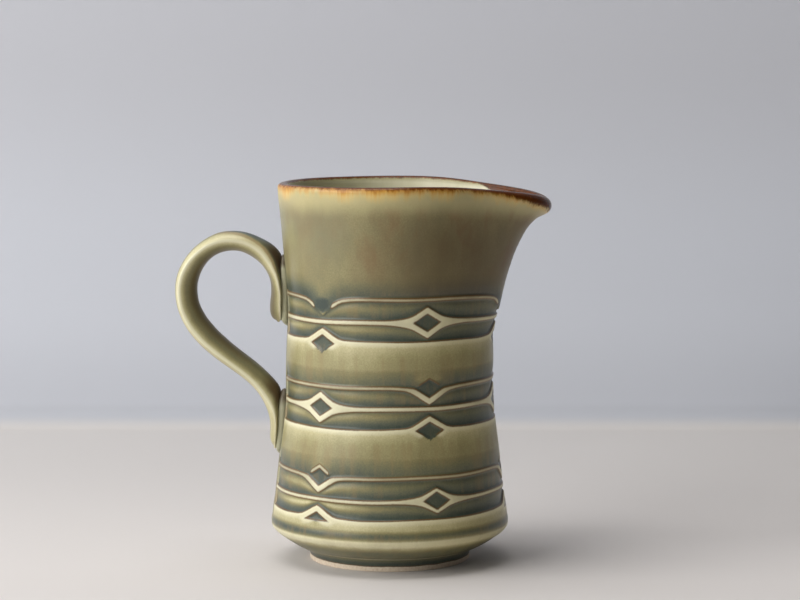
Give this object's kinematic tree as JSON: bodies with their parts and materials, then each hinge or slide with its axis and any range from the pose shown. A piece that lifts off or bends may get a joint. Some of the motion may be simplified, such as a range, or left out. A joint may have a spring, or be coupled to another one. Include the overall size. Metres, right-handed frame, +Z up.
{
  "type": "ceramic pitcher",
  "caption": "Glazed stoneware pouring jug: waisted cylindrical body with relief bands, pulled lip, turned foot and an S-shaped strap handle.",
  "frame": {"origin": "on the standing surface, under the centre of the object's box", "axes": "+Z up along the vessel, +X towards the pouring lip, the handle towards -X, +Y to the side"},
  "size_m": [0.1634, 0.1038, 0.165],
  "materials": {
    "body_glaze": "satin olive-grey stoneware glaze, cream where it breaks on the ridges, blue-grey where it pools, iron-brown rim",
    "inside_glaze": "satin grey-green glaze lining",
    "foot_clay": "glazed side, bare fired clay on the rest face",
    "handle_glaze": "satin olive glaze, cream along the edges",
    "pooled_glaze": "thick blue-grey glaze over the luting slip"
  },
  "bodies": {
    "root": {"body_wall": "body_glaze", "floor_disc": "inside_glaze", "foot_ring": "foot_clay", "handle": "handle_glaze", "upper_handle_joint": "pooled_glaze", "lower_handle_joint": "pooled_glaze"}
  },
  "joints": []
}
